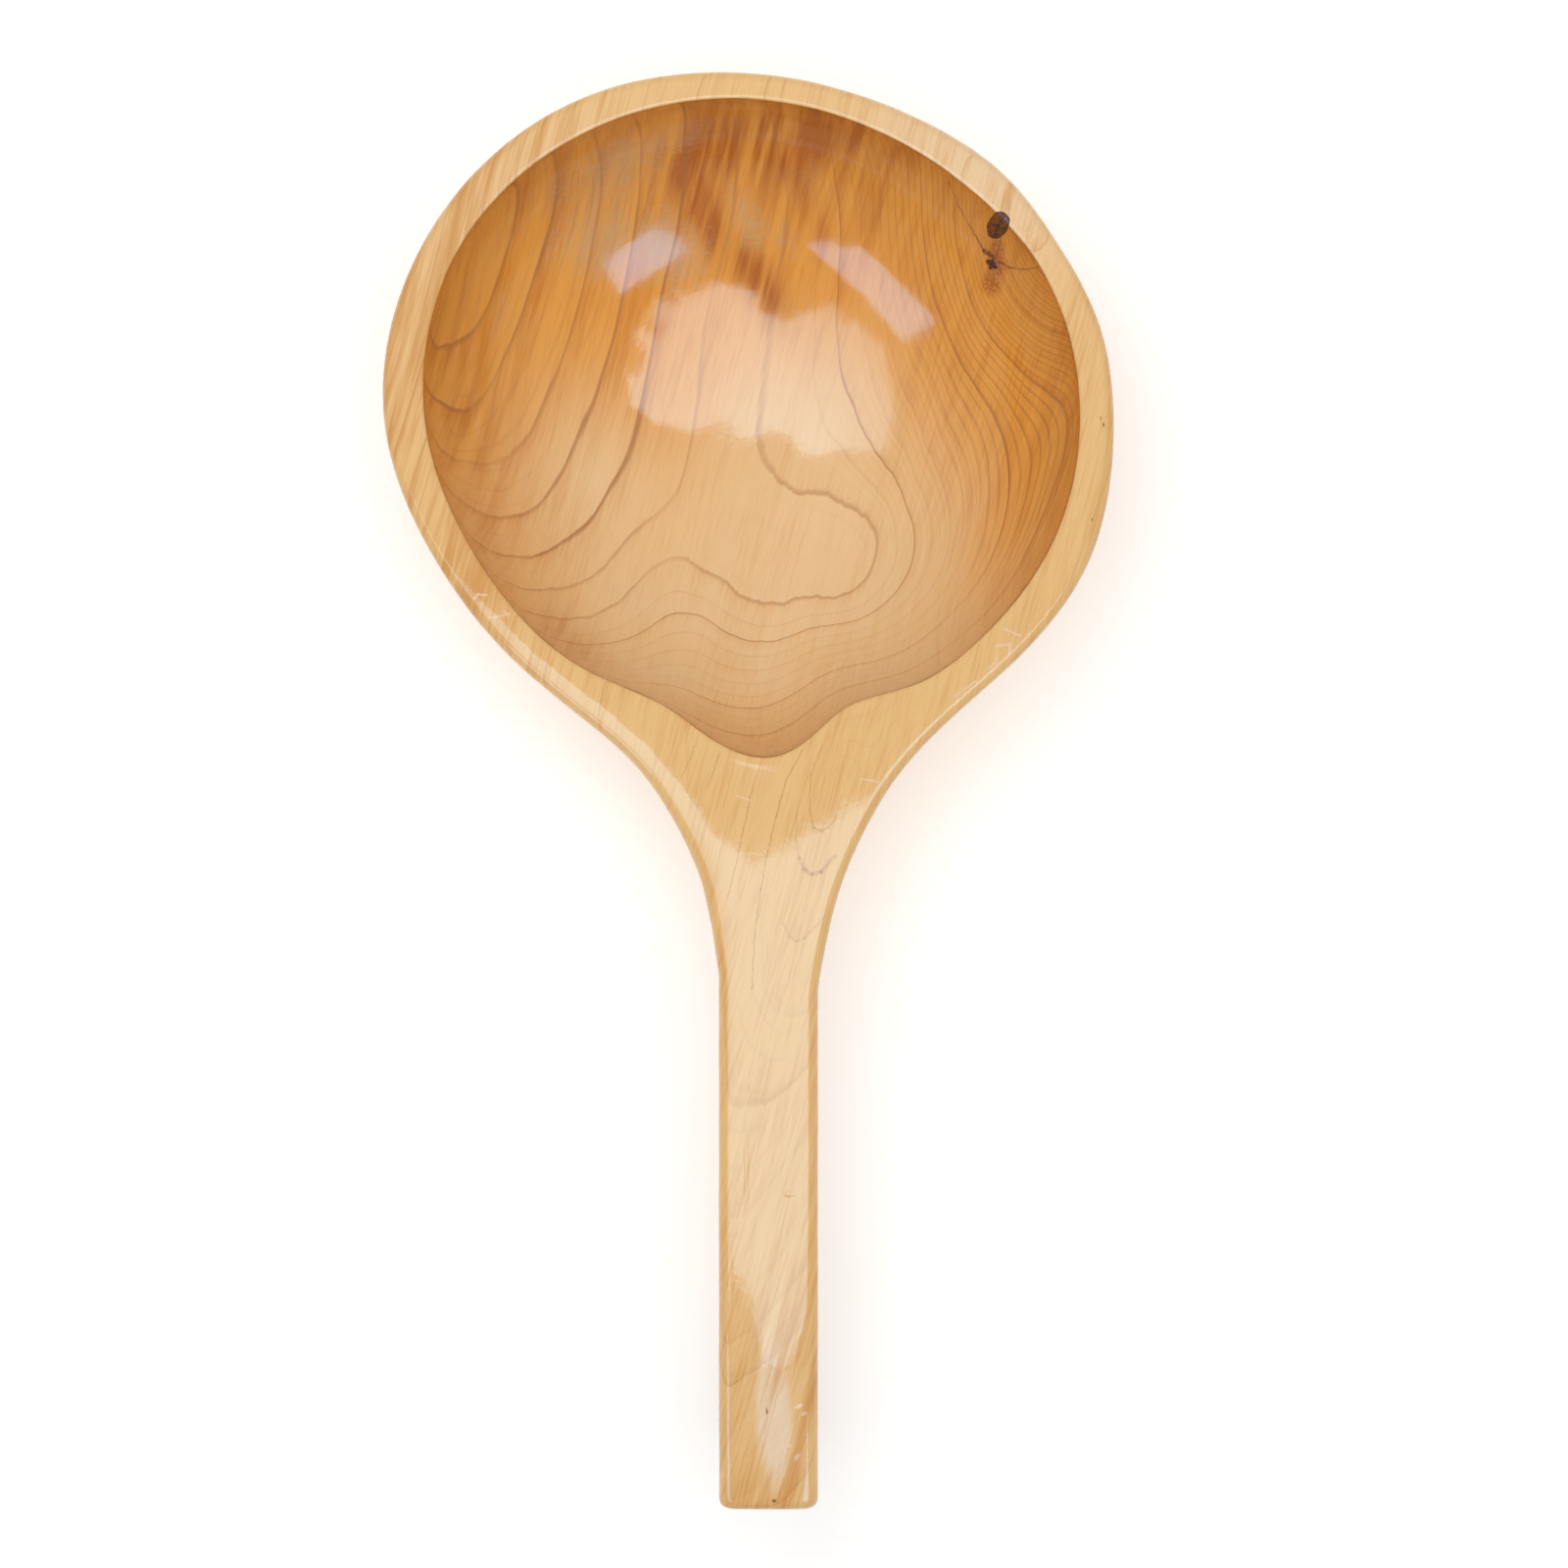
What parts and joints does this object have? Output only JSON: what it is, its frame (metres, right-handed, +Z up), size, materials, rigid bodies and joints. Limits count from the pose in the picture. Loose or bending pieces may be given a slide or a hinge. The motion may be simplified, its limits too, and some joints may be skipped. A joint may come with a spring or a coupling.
{
  "type": "water dipper",
  "caption": "Carved wooden dipper with a broad round bowl and a straight handle, for scooping and pouring water.",
  "frame": {"origin": "on the flat foot under the bowl, below the bowl's middle and on the handle's centre line", "axes": "+Z up out of the bowl, +Y from the handle's end to the bowl's front, +X to the right seen from above"},
  "size_m": [0.1933, 0.3799, 0.065],
  "materials": {
    "carved_wood": "pale honey softwood with fine growth rings, under a clear glossy lacquer",
    "large_knot_wood": "dark red-brown dead knot, cracked, under the same lacquer",
    "small_knot_wood": "dark red-brown star-cracked knot, under the same lacquer"
  },
  "bodies": {
    "root": {"dipper_body": "carved_wood", "large_knot": "large_knot_wood", "small_knot": "small_knot_wood"}
  },
  "joints": []
}
